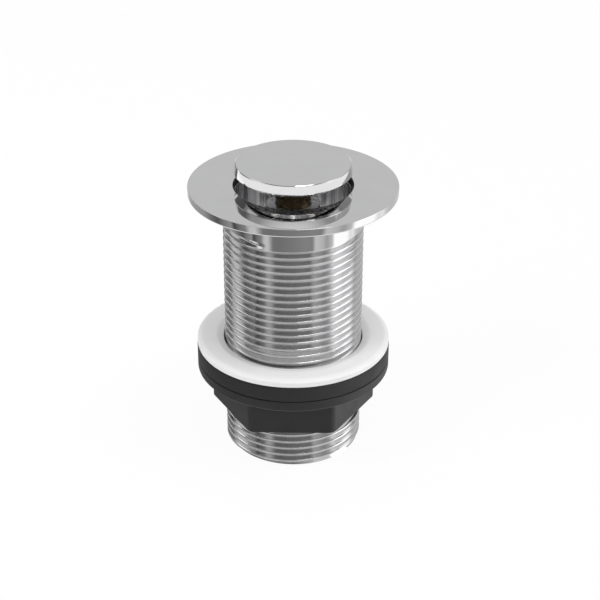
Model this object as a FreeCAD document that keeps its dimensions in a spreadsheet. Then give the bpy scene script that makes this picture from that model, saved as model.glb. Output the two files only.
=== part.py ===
import FreeCAD, Part

import os

import Sketcher

# A pop up basin waste, in millimetres. The origin is the centre of the tail's end, +Z is up.
# The body stands on its tail; the flange's flat top and the raised plug are at the top.

# Driving dimensions: name, value, what it is
DIMENSIONS = [
    ("body_length", 85.5, "tail end to the flange's top"),
    ("flange_radius", 31.0, "outer radius of the flange"),
    ("flange_thick", 2.5, "thickness of the flange"),
    ("edge_break", 0.3, "small chamfer on turned edges"),
    ("thread_radius", 20.955, "major radius of the G 1 1/4 thread"),
    ("tail_chamfer", 1.0, "lead-in at the tail's end"),
    ("bore_radius", 17.7, "mouth and upper bore"),
    ("tail_bore_radius", 16.6, "bore below the cross bar's shoulder"),
    ("shoulder_height", 39.5, "shoulder above the tail's end"),
    ("seal_section", 2.0, "section diameter of the mouth seal"),
    ("seal_depth", 1.8, "seal's centre line below the flange's top"),
    ("seal_proud", 0.25, "how far the seal stands into the bore"),
    ("groove_play", 0.1, "room for a ring in its groove"),
    ("seat_gap", 0.05, "radial gap between pieces that are fixed together"),
    ("slide_gap", 0.05, "radial gap of a running fit"),
    ("rest_gap", 0.3, "gap where moving pieces meet their stops"),
    ("bar_thick", 6.0, "height of the cross bar"),
    ("bar_ring_wall", 1.8, "wall of the cross bar's ring"),
    ("arm_width", 3.0, "width of the cross bar's arms"),
    ("arm_rise", 1.0, "how far the arms stay below the ring's edges"),
    ("boss_radius", 6.5, "cross bar's boss"),
    ("stud_radius", 4.0, "M8 stud of the cartridge"),
    ("stud_length", 13.0, "stud below its head"),
    ("stud_head", 1.5, "thickness of the base stud's head"),
    ("stud_plug", 2.5, "height of the base stud's plug in the housing"),
    ("stud_washer_thick", 1.0, "fibre washer on the boss"),
    ("stud_washer_radius", 7.4, "its outer radius"),
    ("stud_nut_flats", 13.0, "lock nut across flats"),
    ("stud_nut_thick", 4.5, "lock nut's height"),
    ("housing_radius", 8.0, "outside of the cartridge"),
    ("housing_wall", 0.8, "wall of the cartridge"),
    ("housing_length", 30.0, "tube of the cartridge"),
    ("bush_head", 1.5, "height of the bush's head"),
    ("bush_spigot", 3.0, "bush's spigot in the housing"),
    ("wiper_section", 0.76, "section diameter of the wiper ring"),
    ("plug_travel", 6.4, "stroke from open to closed"),
    ("plug_gap", 0.35, "radial gap between plug and bore"),
    ("cap_thick", 4.0, "thickness of the cap"),
    ("cap_top_bevel", 0.6, "bevel at the cap's top edge"),
    ("cap_under_bevel", 1.0, "bevel at the cap's lower edge"),
    ("cap_boss_radius", 7.0, "boss under the cap"),
    ("cap_boss_height", 1.8, "boss below the cap"),
    ("cap_skin", 2.0, "metal left above the cap's blind hole"),
    ("cap_washer_thick", 0.5, "washer under the cap's boss"),
    ("cap_stud_radius", 3.0, "M6 grub screw in cap and stem"),
    ("cap_stud_grip", 5.0, "length of the grub screw in the stem"),
    ("stem_radius", 5.25, "stem under the cap"),
    ("stem_length", 11.3, "stem from crown to cap washer"),
    ("stem_edge", 0.4, "chamfer at the stem's top"),
    ("crown_flange", 1.8, "height of the crown's guide flange"),
    ("crown_hub_radius", 4.6, "crown below its flange"),
    ("crown_hub_length", 3.4, "crown's hub with its teeth"),
    ("crown_tooth", 1.0, "depth of the crown's teeth"),
    ("axle_radius", 1.5, "pin that carries the rotor"),
    ("axle_grip", 3.0, "length of the pin in the stem"),
    ("axle_head_radius", 2.4, "riveted head of the pin"),
    ("axle_head_thick", 0.8, "height of that head"),
    ("rotor_length", 5.7, "height of the rotor's hub"),
    ("rotor_hub_radius", 4.8, "rotor's hub"),
    ("fin_drop", 3.3, "middle of the fins' ramps below the rotor's top"),
    ("fin_angle", 16.0, "width of each fin in degrees"),
    ("fin_gap", 0.2, "radial gap around the fins"),
    ("latch_turn", 60.0, "turn of the rotor over the stroke in degrees"),
    ("sleeve_wall", 0.65, "wall of the cam sleeve"),
    ("sleeve_skirt", 3.0, "sleeve below its ribs' centres"),
    ("rib_angle", 30.0, "width of each rib in degrees"),
    ("rib_gap", 0.3, "radial gap between ribs and rotor hub"),
    ("ramp_gap", 0.5, "height between fins and ribs when latched"),
    ("slip_washer_thick", 0.6, "washer under the rotor"),
    ("slip_gap", 0.1, "play of the rotor on its washer"),
    ("spring_wire", 0.8, "wire diameter of the spring"),
    ("spring_radius", 3.7, "mean radius of the spring"),
    ("spring_turns", 5.5, "turns of the spring"),
    ("washer_hole_radius", 21.3, "holes of both washers"),
    ("washer_top", 35.7, "white washer's top above the tail's end"),
    ("white_radius", 29.4, "white washer's outer radius"),
    ("white_thick", 2.3, "white washer's thickness"),
    ("white_outer_bevel", 1.3, "width of its outer bevel"),
    ("white_inner_bevel", 2.2, "width of the bevel at its hole"),
    ("white_bevel_depth", 0.6, "depth of both bevels"),
    ("rubber_radius", 29.5, "rubber washer's outer radius"),
    ("rubber_thick", 5.1, "rubber washer's thickness"),
    ("rubber_round", 0.8, "its rounded edges"),
    ("nut_flange_radius", 29.5, "back nut's flange"),
    ("nut_flange_thick", 3.1, "its thickness"),
    ("nut_flats", 44.0, "back nut across flats"),
    ("nut_height", 15.3, "back nut's whole height"),
    ("nut_corner_radius", 25.0, "radius to which the corners are turned"),
    ("nut_chamfer", 1.2, "lead-in chamfers of the nut's thread"),
    ("nut_turned_by", -1.1, "turn of the nut about the axis in degrees"),
]

# Repeats that are whole numbers
ARMS = 4
LATCH_STEPS = 3
CROWN_TEETH = 6
FLATS = 6
SECTION_SIDES = 6

# Places and fits that follow from the dimensions: name, formula
PLACES = [
    ("flange_under", "dims.body_length - dims.flange_thick"),
    ("seal_height", "dims.body_length - dims.seal_depth"),
    ("seal_line_radius", "dims.bore_radius - dims.seal_proud + dims.seal_section / 2"),
    ("bar_radius", "dims.bore_radius - dims.seat_gap"),
    ("bar_top", "dims.shoulder_height + dims.bar_thick"),
    ("head_seat", "places.bar_top + dims.stud_washer_thick"),
    ("housing_base", "places.head_seat + dims.stud_head"),
    ("housing_bore", "dims.housing_radius - dims.housing_wall"),
    ("housing_top", "places.housing_base + dims.housing_length"),
    ("spring_seat", "places.housing_base + dims.stud_plug"),
    ("inner_radius", "places.housing_bore - dims.seat_gap"),
    ("stem_bore", "dims.stem_radius + dims.slide_gap"),
    ("wiper_radius", "places.stem_bore + dims.seat_gap + dims.wiper_section / 2"),
    ("wiper_height", "places.housing_top - dims.bush_spigot / 2"),
    ("stem_base", "places.housing_top - dims.bush_spigot - dims.rest_gap"),
    ("stem_top", "places.stem_base + dims.stem_length"),
    ("cap_base", "places.stem_top + dims.cap_washer_thick"),
    ("cap_radius", "dims.bore_radius - dims.plug_gap"),
    ("crown_height", "dims.crown_flange + dims.crown_hub_length"),
    ("crown_base", "places.stem_base - places.crown_height"),
    ("axle_bore", "dims.axle_radius + dims.slide_gap"),
    ("rotor_top", "places.crown_base - dims.rest_gap"),
    ("rotor_base", "places.rotor_top - dims.rotor_length"),
    ("slip_base", "places.rotor_base - dims.slip_gap - dims.slip_washer_thick"),
    ("axle_base", "places.slip_base - dims.axle_head_thick"),
    ("sleeve_top", "places.stem_base - dims.crown_flange - dims.plug_travel - dims.rest_gap"),
    ("rib_line", "places.rotor_top - dims.fin_drop - dims.plug_travel + dims.ramp_gap"),
    ("groove_radius", "places.inner_radius - dims.sleeve_wall"),
    ("fin_radius", "places.groove_radius - dims.fin_gap"),
    ("rib_radius", "dims.rotor_hub_radius + dims.rib_gap"),
    ("ramp_radius", "(places.groove_radius + places.rib_radius) / 2"),
    ("ramp_slope", "dims.plug_travel / (places.ramp_radius * dims.latch_turn * pi / 180)"),
    ("rib_reach", "places.groove_radius * sin(dims.rib_angle * 1 deg / 2) + dims.seat_gap"),
    ("fin_reach", "places.fin_radius * sin(dims.fin_angle * 1 deg / 2) + dims.seat_gap"),
    ("spring_height", "places.slip_base - places.spring_seat - dims.spring_wire"),
    ("rubber_base", "dims.washer_top - dims.white_thick - dims.rubber_thick"),
    ("nut_base", "places.rubber_base - dims.nut_height"),
    ("nut_bore", "dims.thread_radius + dims.slide_gap"),
]

doc = FreeCAD.newDocument("BasinWaste")


# The two sheets

def fill_sheet(name, rows):
    page = doc.addObject("Spreadsheet::Sheet", name)
    for row, entry in enumerate(rows, start=1):
        page.set("A%d" % row, entry[0])
        page.set("B%d" % row, str(entry[1]) if len(entry) == 3 else "=" + entry[1])
        page.setAlias("B%d" % row, entry[0])
        if len(entry) == 3:
            page.set("C%d" % row, entry[2])
    doc.recompute()
    return page


dims = fill_sheet("dims", DIMENSIONS)
places = fill_sheet("places", [(name, formula.replace("places.", "")) for name, formula in PLACES])


def size_of(formula):
    return float(dims.evalExpression(formula))


# Sketches

def origin_plane(body, role):
    return next(f for f in body.Origin.OriginFeatures if f.Role == role)


def new_sketch(body, role, name, lift=None):
    sketch = body.newObject("Sketcher::SketchObject", name)
    sketch.AttachmentSupport = [(origin_plane(body, role), "")]
    sketch.MapMode = "FlatFace"
    if lift is not None:
        sketch.setExpression("AttachmentOffset.Base.z", lift)
    return sketch


def bind(sketch, kind, first, second, formula):
    number = sketch.addConstraint(Sketcher.Constraint(kind, *first, *second, size_of(formula)))
    sketch.setExpression("Constraints[%d]" % number, formula)


def pin_corner(sketch, line, across, up):
    """Fixes the start of a line at (across, up) from the sketch's origin."""
    if across == "0":
        sketch.addConstraint(Sketcher.Constraint("PointOnObject", line, 1, -2))
    else:
        bind(sketch, "DistanceX", (-1, 1), (line, 1), across)
    if up == "0":
        sketch.addConstraint(Sketcher.Constraint("PointOnObject", line, 1, -1))
    else:
        bind(sketch, "DistanceY", (-1, 1), (line, 1), up)


def draw_outline(sketch, corners):
    """Draws a closed outline through corners given as pairs of formulas."""
    points = [FreeCAD.Vector(size_of(across), size_of(up), 0) for across, up in corners]
    count = len(points)
    for line in range(count):
        sketch.addGeometry(Part.LineSegment(points[line], points[(line + 1) % count]), False)
    for line in range(count):
        sketch.addConstraint(Sketcher.Constraint("Coincident", line, 2, (line + 1) % count, 1))
    for line, (across, up) in enumerate(corners):
        pin_corner(sketch, line, across, up)


def hexagon(flats):
    """Corners of a hexagon whose flat faces -Y, as pairs of formulas."""
    corners = []
    for corner in range(FLATS):
        angle = "%d deg" % (360 // FLATS * corner)
        reach = "%s / (2 * cos(30 deg))" % flats
        corners.append(("%s * cos(%s)" % (reach, angle), "%s * sin(%s)" % (reach, angle)))
    return corners


# Features

def new_body(label, height=None):
    body = doc.addObject("PartDesign::Body", label)
    body.Label = label
    if height is not None:
        body.setExpression("Placement.Base.z", height)
    return body


def turn(body, corners, name="Turned", kind="PartDesign::Revolution", angle=None):
    """Turns an outline in the XZ plane about Z, all round or over an angle about +X."""
    sketch = new_sketch(body, "XZ_Plane", name + "Outline")
    draw_outline(sketch, corners)
    feature = body.newObject(kind, name)
    feature.Profile = sketch
    feature.ReferenceAxis = (sketch, ["V_Axis"])
    feature.Angle = 360
    if angle is not None:
        feature.Midplane = True
        feature.setExpression("Angle", angle)
    doc.recompute()
    return feature


def turn_ring(body, radius, section):
    """Turns the section of a sealing ring, with its corners on the round one, about Z."""
    corners = []
    for corner in range(SECTION_SIDES):
        angle = "%d deg" % (360 // SECTION_SIDES * corner)
        corners.append(("%s + %s / 2 * cos(%s)" % (radius, section, angle),
                        "%s / 2 * sin(%s)" % (section, angle)))
    return turn(body, corners, "Ring")


def plain_ring(body, inner, outer, height):
    return turn(body, [(inner, "0"), (outer, "0"), (outer, height), (inner, height)])


def pad(body, corners, height, name, lift=None):
    sketch = new_sketch(body, "XY_Plane", name + "Outline", lift)
    draw_outline(sketch, corners)
    feature = body.newObject("PartDesign::Pad", name)
    feature.Profile = sketch
    feature.setExpression("Length", height)
    doc.recompute()
    return feature


def cut_inwards(body, corners, start, depth, name):
    """Cuts an outline, drawn across +X at the radius start, towards the axis."""
    before = body.Shape.Volume
    sketch = new_sketch(body, "YZ_Plane", name + "Outline", start)
    draw_outline(sketch, corners)
    feature = body.newObject("PartDesign::Pocket", name)
    feature.Profile = sketch
    feature.setExpression("Length", depth)
    doc.recompute()
    if body.Shape.Volume >= before:
        raise RuntimeError("%s cut nothing" % name)
    return feature


def repeat(body, features, count, name):
    """Repeats features evenly about Z."""
    pattern = body.newObject("PartDesign::PolarPattern", name)
    pattern.Originals = features
    pattern.Axis = (next(f for f in body.Origin.OriginFeatures if f.Role == "Z_Axis"), [""])
    pattern.Angle = 360
    pattern.Occurrences = count
    body.Tip = pattern
    doc.recompute()
    return pattern


def ramp_side(line, reach, end):
    """The space from a ramp, which falls along +Y through the height line, to the height end."""
    fall = "places.ramp_slope * %s" % reach
    return [("-" + reach, "%s + %s" % (line, fall)), (reach, "%s - %s" % (line, fall)),
            (reach, end), ("-" + reach, end)]


# The fixed pieces

def make_waste_body():
    body = new_body("waste_body")
    groove_low = "places.seal_height - dims.seal_section / 2 - dims.groove_play"
    groove_high = "places.seal_height + dims.seal_section / 2 + dims.groove_play"
    groove = "places.seal_line_radius + dims.seal_section / 2 + dims.seat_gap"
    turn(body, [
        ("dims.tail_bore_radius + dims.edge_break", "0"),
        ("dims.thread_radius - dims.tail_chamfer", "0"),
        ("dims.thread_radius", "dims.tail_chamfer"),
        ("dims.thread_radius", "places.flange_under"),
        ("dims.flange_radius - dims.edge_break", "places.flange_under"),
        ("dims.flange_radius", "places.flange_under + dims.edge_break"),
        ("dims.flange_radius", "dims.body_length - dims.edge_break / 2"),
        ("dims.flange_radius - dims.edge_break / 2", "dims.body_length"),
        ("dims.bore_radius + dims.edge_break", "dims.body_length"),
        ("dims.bore_radius", "dims.body_length - dims.edge_break"),
        ("dims.bore_radius", groove_high),
        (groove, groove_high),
        (groove, groove_low),
        ("dims.bore_radius", groove_low),
        ("dims.bore_radius", "dims.shoulder_height"),
        ("dims.tail_bore_radius", "dims.shoulder_height"),
        ("dims.tail_bore_radius", "dims.edge_break"),
    ])


def make_mouth_seal():
    body = new_body("mouth_seal", "places.seal_height")
    turn_ring(body, "places.seal_line_radius", "dims.seal_section")


def make_cross_bar():
    body = new_body("cross_bar", "dims.shoulder_height")
    reach = "places.bar_radius - dims.bar_ring_wall / 2"
    half = "dims.arm_width / 2"
    arm = pad(body, [("0", "-" + half), (reach, "-" + half), (reach, half), ("0", half)],
              "dims.bar_thick - 2 * dims.arm_rise", "Arm", "dims.arm_rise")
    repeat(body, [arm], ARMS, "Arms")
    turn(body, [
        ("places.bar_radius - dims.bar_ring_wall", "0"),
        ("places.bar_radius", "0"),
        ("places.bar_radius", "dims.bar_thick"),
        ("places.bar_radius - dims.bar_ring_wall", "dims.bar_thick"),
    ], "BarRing")
    turn(body, [("0", "0"), ("dims.boss_radius", "0"), ("dims.boss_radius", "dims.bar_thick"),
                ("0", "dims.bar_thick")], "Boss")
    hole = "dims.stud_radius + dims.seat_gap"
    turn(body, [("0", "0"), (hole, "0"), (hole, "dims.bar_thick"), ("0", "dims.bar_thick")],
         "StudHole", "PartDesign::Groove")


def make_stud_washer():
    body = new_body("stud_washer", "places.bar_top")
    plain_ring(body, "dims.stud_radius + dims.seat_gap", "dims.stud_washer_radius",
               "dims.stud_washer_thick")


def make_base_stud():
    body = new_body("base_stud", "places.head_seat - dims.stud_length")
    head = "dims.stud_length + dims.stud_head"
    turn(body, [
        ("0", "0"),
        ("dims.stud_radius - dims.edge_break", "0"),
        ("dims.stud_radius", "dims.edge_break"),
        ("dims.stud_radius", "dims.stud_length"),
        ("dims.housing_radius", "dims.stud_length"),
        ("dims.housing_radius", head),
        ("places.inner_radius", head),
        ("places.inner_radius", head + " + dims.stud_plug"),
        ("0", head + " + dims.stud_plug"),
    ])


def make_stud_nut():
    body = new_body("stud_nut", "dims.shoulder_height - dims.stud_nut_thick")
    pad(body, hexagon("dims.stud_nut_flats"), "dims.stud_nut_thick", "Hexagon")
    hole = "dims.stud_radius + dims.seat_gap"
    turn(body, [("0", "0"), (hole, "0"), (hole, "dims.stud_nut_thick"),
                ("0", "dims.stud_nut_thick")], "StudHole", "PartDesign::Groove")


def make_cartridge_housing():
    body = new_body("cartridge_housing", "places.housing_base")
    plain_ring(body, "places.housing_bore", "dims.housing_radius", "dims.housing_length")


def make_top_bush():
    body = new_body("top_bush", "places.housing_top - dims.bush_spigot")
    middle = "dims.bush_spigot / 2"
    room = "dims.wiper_section / 2 + dims.seat_gap"
    groove = "places.wiper_radius + dims.wiper_section / 2 + dims.seat_gap"
    top = "dims.bush_spigot + dims.bush_head"
    turn(body, [
        ("places.stem_bore", "0"),
        ("places.inner_radius", "0"),
        ("places.inner_radius", "dims.bush_spigot"),
        ("dims.housing_radius", "dims.bush_spigot"),
        ("dims.housing_radius", top + " - dims.edge_break"),
        ("dims.housing_radius - dims.edge_break", top),
        ("places.stem_bore", top),
        ("places.stem_bore", "%s + %s" % (middle, room)),
        (groove, "%s + %s" % (middle, room)),
        (groove, "%s - (%s)" % (middle, room)),
        ("places.stem_bore", "%s - (%s)" % (middle, room)),
    ])


def make_wiper_ring():
    body = new_body("wiper_ring", "places.wiper_height")
    turn_ring(body, "places.wiper_radius", "dims.wiper_section")


def make_cam_sleeve():
    low = "places.rib_line - dims.sleeve_skirt"
    body = new_body("cam_sleeve", low)
    height = "places.sleeve_top - (%s)" % low
    plain_ring(body, "places.groove_radius", "places.inner_radius", height)
    rib = turn(body, [
        ("places.rib_radius", "0"),
        ("places.groove_radius + dims.sleeve_wall / 2", "0"),
        ("places.groove_radius + dims.sleeve_wall / 2", height),
        ("places.rib_radius", height),
    ], "Rib", angle="dims.rib_angle")
    ramp = cut_inwards(body, ramp_side("dims.sleeve_skirt", "places.rib_reach", "-dims.edge_break"),
                       "places.groove_radius", "places.groove_radius - places.rib_radius / 2",
                       "Ramp")
    repeat(body, [rib, ramp], LATCH_STEPS, "Ribs")
    body.setExpression("Placement.Rotation.Angle", "dims.latch_turn")


def make_return_spring():
    helix = doc.addObject("Part::Helix", "SpringLine")
    helix.setExpression("Radius", "dims.spring_radius")
    helix.setExpression("Height", "places.spring_height")
    helix.setExpression("Pitch", "places.spring_height / dims.spring_turns")
    wire = doc.addObject("Part::RegularPolygon", "SpringSection")
    wire.Polygon = SECTION_SIDES
    wire.setExpression("Circumradius", "dims.spring_wire / 2")
    wire.setExpression("Placement.Base.x", "dims.spring_radius")
    wire.Placement.Rotation = FreeCAD.Rotation(FreeCAD.Vector(1, 0, 0), 90)
    doc.recompute()
    spring = doc.addObject("Part::Sweep", "return_spring")
    spring.Label = "return_spring"
    spring.Sections = [wire]
    spring.Spine = (helix, [])
    spring.Solid = True
    spring.Frenet = True
    spring.setExpression("Placement.Base.z", "places.spring_seat + dims.spring_wire / 2")
    doc.recompute()


# The plug and what moves with it

def make_plug_cap():
    body = new_body("plug_cap", "places.cap_base")
    hole = "dims.cap_stud_radius + dims.seat_gap"
    top = "dims.cap_boss_height + dims.cap_thick"
    turn(body, [
        (hole, "0"),
        ("dims.cap_boss_radius", "0"),
        ("dims.cap_boss_radius", "dims.cap_boss_height"),
        ("places.cap_radius - dims.cap_under_bevel", "dims.cap_boss_height"),
        ("places.cap_radius", "dims.cap_boss_height + dims.cap_under_bevel"),
        ("places.cap_radius", top + " - dims.cap_top_bevel"),
        ("places.cap_radius - dims.cap_top_bevel", top),
        ("0", top),
        ("0", top + " - dims.cap_skin"),
        (hole, top + " - dims.cap_skin"),
    ])


def make_cap_stud():
    body = new_body("cap_stud", "places.stem_top - dims.cap_stud_grip")
    height = ("dims.cap_stud_grip + dims.cap_washer_thick + dims.cap_boss_height"
              " + dims.cap_thick - dims.cap_skin")
    turn(body, [("0", "0"), ("dims.cap_stud_radius", "0"), ("dims.cap_stud_radius", height),
                ("0", height)])


def make_cap_washer():
    body = new_body("cap_washer", "places.stem_top")
    plain_ring(body, "dims.cap_stud_radius + dims.seat_gap", "dims.stem_radius",
               "dims.cap_washer_thick")


def make_plunger_stem():
    body = new_body("plunger_stem", "places.stem_base")
    top = "dims.stem_length"
    upper = "dims.cap_stud_radius + dims.seat_gap"
    lower = "dims.axle_radius + dims.seat_gap"
    turn(body, [
        (lower, "0"),
        ("dims.stem_radius", "0"),
        ("dims.stem_radius", top + " - dims.stem_edge"),
        ("dims.stem_radius - dims.stem_edge", top),
        (upper, top),
        (upper, top + " - dims.cap_stud_grip"),
        ("0", top + " - dims.cap_stud_grip"),
        ("0", "dims.axle_grip"),
        (lower, "dims.axle_grip"),
    ])


def make_pusher_crown():
    body = new_body("pusher_crown", "places.crown_base")
    hole = "dims.axle_radius + dims.seat_gap"
    guide = "places.housing_bore - dims.slide_gap"
    turn(body, [
        (hole, "0"),
        ("dims.crown_hub_radius", "0"),
        ("dims.crown_hub_radius", "dims.crown_hub_length"),
        (guide, "dims.crown_hub_length"),
        (guide, "places.crown_height"),
        (hole, "places.crown_height"),
    ])
    half = "dims.crown_hub_radius * sin(180 deg / %d)" % CROWN_TEETH
    notch = cut_inwards(body, [("-%s" % half, "-dims.crown_tooth"), (half, "-dims.crown_tooth"),
                               (half, "0"), ("0", "dims.crown_tooth"), ("-%s" % half, "0")],
                        "dims.crown_hub_radius + dims.edge_break",
                        "dims.crown_hub_radius - dims.axle_radius", "Notch")
    repeat(body, [notch], CROWN_TEETH, "Teeth")


def make_rotor_axle():
    body = new_body("rotor_axle", "places.axle_base")
    height = "places.stem_base + dims.axle_grip - places.axle_base"
    turn(body, [
        ("0", "0"),
        ("dims.axle_head_radius", "0"),
        ("dims.axle_head_radius", "dims.axle_head_thick"),
        ("dims.axle_radius", "dims.axle_head_thick"),
        ("dims.axle_radius", height),
        ("0", height),
    ])


def make_slip_washer():
    body = new_body("slip_washer", "places.slip_base")
    plain_ring(body, "dims.axle_radius + dims.seat_gap",
               "dims.spring_radius + dims.spring_wire", "dims.slip_washer_thick")


def make_latch_rotor():
    body = new_body("latch_rotor", "places.rotor_base")
    plain_ring(body, "places.axle_bore", "dims.rotor_hub_radius", "dims.rotor_length")
    line = "dims.rotor_length - dims.fin_drop"
    high = line + " + places.ramp_slope * places.fin_reach"
    root = "dims.rotor_hub_radius * cos(dims.fin_angle * 1 deg / 2)"
    fin = turn(body, [
        ("dims.rotor_hub_radius / 2", "0"),
        ("places.fin_radius", "0"),
        ("places.fin_radius", high),
        ("dims.rotor_hub_radius / 2", high),
    ], "Fin", angle="dims.fin_angle")
    ramp = cut_inwards(body, ramp_side(line, "places.fin_reach", high + " + dims.edge_break"),
                       "places.fin_radius + dims.fin_gap",
                       "places.fin_radius + dims.fin_gap - " + root, "Ramp")
    repeat(body, [fin, ramp], LATCH_STEPS, "Fins")


# The clamping pieces under the basin

def make_white_washer():
    body = new_body("white_washer", "dims.washer_top - dims.white_thick")
    bevel = "dims.white_thick - dims.white_bevel_depth"
    turn(body, [
        ("dims.washer_hole_radius", "0"),
        ("dims.white_radius", "0"),
        ("dims.white_radius", bevel),
        ("dims.white_radius - dims.white_outer_bevel", "dims.white_thick"),
        ("dims.washer_hole_radius + dims.white_inner_bevel", "dims.white_thick"),
        ("dims.washer_hole_radius", bevel),
    ])


def make_rubber_washer():
    body = new_body("rubber_washer", "places.rubber_base")
    turn(body, [
        ("dims.washer_hole_radius", "0"),
        ("dims.rubber_radius - dims.rubber_round", "0"),
        ("dims.rubber_radius", "dims.rubber_round"),
        ("dims.rubber_radius", "dims.rubber_thick - dims.rubber_round"),
        ("dims.rubber_radius - dims.rubber_round", "dims.rubber_thick"),
        ("dims.washer_hole_radius", "dims.rubber_thick"),
    ])


def make_back_nut():
    body = new_body("back_nut", "places.nut_base")
    pad(body, hexagon("dims.nut_flats"), "dims.nut_height", "Hexagon")
    reach = "dims.nut_flats"
    turn(body, [("dims.nut_corner_radius", "0"), (reach, "0"), (reach, "dims.nut_height"),
                ("dims.nut_corner_radius", "dims.nut_height")],
         "Corners", "PartDesign::Groove")
    under = "dims.nut_height - dims.nut_flange_thick"
    turn(body, [
        ("0", under),
        ("dims.nut_flange_radius - dims.edge_break", under),
        ("dims.nut_flange_radius", under + " + dims.edge_break"),
        ("dims.nut_flange_radius", "dims.nut_height - dims.edge_break"),
        ("dims.nut_flange_radius - dims.edge_break", "dims.nut_height"),
        ("0", "dims.nut_height"),
    ], "Flange")
    wide = "places.nut_bore + dims.nut_chamfer"
    turn(body, [
        ("0", "0"),
        (wide, "0"),
        ("places.nut_bore", "dims.nut_chamfer"),
        ("places.nut_bore", "dims.nut_height - dims.nut_chamfer"),
        (wide, "dims.nut_height"),
        ("0", "dims.nut_height"),
    ], "Bore", "PartDesign::Groove")
    body.setExpression("Placement.Rotation.Angle", "dims.nut_turned_by")


MAKERS = [
    make_waste_body, make_mouth_seal, make_cross_bar, make_stud_washer, make_base_stud,
    make_stud_nut, make_cartridge_housing, make_top_bush, make_wiper_ring, make_cam_sleeve,
    make_return_spring, make_plug_cap, make_cap_stud, make_cap_washer, make_plunger_stem,
    make_pusher_crown, make_rotor_axle, make_slip_washer, make_latch_rotor,
    make_white_washer, make_rubber_washer, make_back_nut,
]

for maker in MAKERS:
    maker()
doc.recompute()


# Checks, and the files

def failed_objects():
    return [item.Name for item in doc.Objects
            if "Invalid" in item.State or "Error" in item.State]


if failed_objects():
    raise RuntimeError("failed objects: %s" % failed_objects())

pieces = [item for item in doc.Objects
          if item.TypeId == "PartDesign::Body" or item.Label == "return_spring"]
for piece in pieces:
    if piece.Shape.isNull() or not piece.Shape.isValid():
        raise RuntimeError("%s has no valid shape" % piece.Label)
    if len(piece.Shape.Solids) != 1:
        raise RuntimeError("%s has %d solids" % (piece.Label, len(piece.Shape.Solids)))

os.makedirs("parts", exist_ok=True)
for piece in pieces:
    piece.Shape.exportStep(os.path.join("parts", piece.Label + ".step"))
    print("%-18s %10.2f mm3" % (piece.Label, piece.Shape.Volume))
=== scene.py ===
import math

import bmesh
import bpy
from mathutils import Matrix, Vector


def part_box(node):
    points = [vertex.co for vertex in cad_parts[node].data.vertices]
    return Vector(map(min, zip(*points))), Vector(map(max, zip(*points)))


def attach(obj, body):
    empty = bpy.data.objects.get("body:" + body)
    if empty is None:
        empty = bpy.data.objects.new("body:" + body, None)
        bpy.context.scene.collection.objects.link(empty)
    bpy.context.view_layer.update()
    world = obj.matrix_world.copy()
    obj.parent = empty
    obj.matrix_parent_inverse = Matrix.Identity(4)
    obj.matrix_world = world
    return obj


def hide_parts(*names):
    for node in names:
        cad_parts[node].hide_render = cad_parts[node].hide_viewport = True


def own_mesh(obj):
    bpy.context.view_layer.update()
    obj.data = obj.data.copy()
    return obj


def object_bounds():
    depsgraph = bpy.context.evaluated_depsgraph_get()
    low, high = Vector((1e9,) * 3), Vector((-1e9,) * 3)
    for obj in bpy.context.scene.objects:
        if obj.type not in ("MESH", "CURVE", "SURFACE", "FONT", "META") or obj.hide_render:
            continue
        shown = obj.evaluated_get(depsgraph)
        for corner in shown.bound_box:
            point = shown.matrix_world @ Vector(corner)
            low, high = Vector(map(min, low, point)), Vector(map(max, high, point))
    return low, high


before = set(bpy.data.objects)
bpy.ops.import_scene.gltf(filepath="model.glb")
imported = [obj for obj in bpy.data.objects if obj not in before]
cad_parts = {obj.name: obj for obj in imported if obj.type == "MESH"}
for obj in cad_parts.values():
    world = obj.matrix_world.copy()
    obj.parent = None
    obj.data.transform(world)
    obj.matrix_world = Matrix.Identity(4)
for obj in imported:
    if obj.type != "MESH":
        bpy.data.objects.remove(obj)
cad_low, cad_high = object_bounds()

# Sizes are in millimetres and become metres where a point is made.
MM = 0.001

# Sides of a turned piece, and sides of each rounded corner
ROUND_STEPS = 120
CORNER_STEPS = 3
WELD = 0.0005

# The G 1 1/4 thread of the waste body and of the back nut
THREAD_RADIUS = 20.955
THREAD_PITCH = 2.309
THREAD_DEPTH = 1.479
THREAD_ANGLE = 55.0

# A rounded crest takes this much more of its flank than a flat cut of the same height would
THREAD_ROUNDING = 1.46

# Where the tube's thread runs out below the collar, and how fast its last groove fades
THREAD_END_HEIGHT = 74.5
THREAD_END_AZIMUTH = 250.0
THREAD_FADE_TURNS = 0.12

# Clearance of what slides or is pressed in
FIT = 0.05

# The M8 thread of the cartridge's stud
STUD_RADIUS = 4.0
STUD_PITCH = 1.25
STUD_DEPTH = 0.77
STUD_ANGLE = 60.0
STUD_CHAMFER = 0.8

# Waste body
BORE_RADIUS = 17.7
TAIL_BORE_RADIUS = 16.6
SHOULDER_HEIGHT = 39.5
FLANGE_THICK = 2.5
TAIL_CHAMFER = 1.0
SEAL_DEPTH = 1.8
SEAL_GROOVE = 2.2
SEAL_SECTION = 2.0
SEAL_REACH = 0.2
WIPER_SECTION = 0.76

# Material places of the waste body, after the polished chrome
BORE_PLACE = 1
THREAD_PLACE = 2

# Washers and nut
WASHER_HOLE_RADIUS = 21.3
WASHER_SLOPE_HEIGHT = 0.6
WASHER_RIM_SLOPE = 1.3
WASHER_HOLE_SLOPE = 2.2
NUT_FLATS = 44.0
NUT_FLANGE_THICK = 3.1
NUT_TURNED_BY = -1.1
NUT_CORNER_CUT = 1.3
NUT_CHAMFER = 1.2
NUT_EDGE = 0.12

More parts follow.
